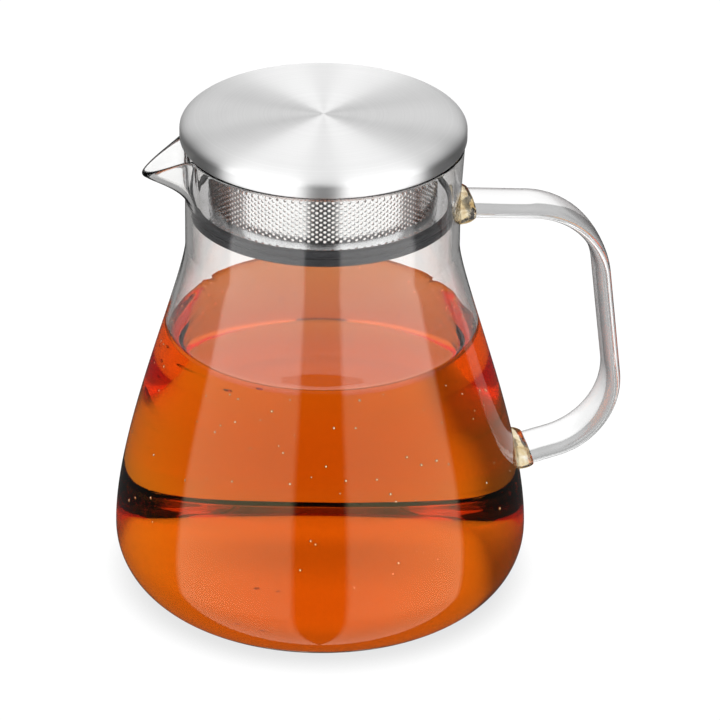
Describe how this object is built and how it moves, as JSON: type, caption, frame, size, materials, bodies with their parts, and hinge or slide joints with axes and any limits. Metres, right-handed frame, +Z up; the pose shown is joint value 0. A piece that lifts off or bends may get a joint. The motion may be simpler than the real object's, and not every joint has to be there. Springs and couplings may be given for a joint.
{
  "type": "glass teapot",
  "caption": "Blown glass teapot with a pulled pouring lip, a glass strap handle and a flat steel lid that carries a strainer and a silicone seal.",
  "frame": {"origin": "centre of the foot, on the plane the pot stands on", "axes": "+Z up along the vessel's axis, +X towards the handle, -X towards the pouring lip"},
  "size_m": [0.1601, 0.1298, 0.1582],
  "materials": {
    "glass_body": "clear blown borosilicate, fire-polished rim",
    "glass_handle": "clear solid glass strap, fire-polished",
    "glass_weld": "clear fused glass bead, slightly wavy",
    "brushed_lid": "spun-brushed top, polished shoulder",
    "satin_plate": "satin sheet steel",
    "strainer_steel": "bright perforated sheet steel",
    "polished_channel": "bright rolled steel",
    "silicone": "dark grey satin silicone"
  },
  "bodies": {
    "pot": {"glass_body": "glass_body", "handle": "glass_handle", "upper_handle_weld": "glass_weld", "lower_handle_weld": "glass_weld"},
    "seal": {"silicone_seal": "silicone"},
    "lid": {"lid_cap": "brushed_lid", "lid_underplate": "satin_plate", "strainer_band": "strainer_steel", "seal_channel": "polished_channel"}
  },
  "joints": [
    {"name": "lid_lift", "type": "slide", "parent": "pot", "child": "seal", "axis": [0, 0, 1], "range_m": [0, 0.07]},
    {"name": "lid_turn", "type": "hinge", "parent": "seal", "child": "lid", "pos_m": [0, 0, 0.153], "axis": [0, 0, 1], "continuous": true}
  ]
}
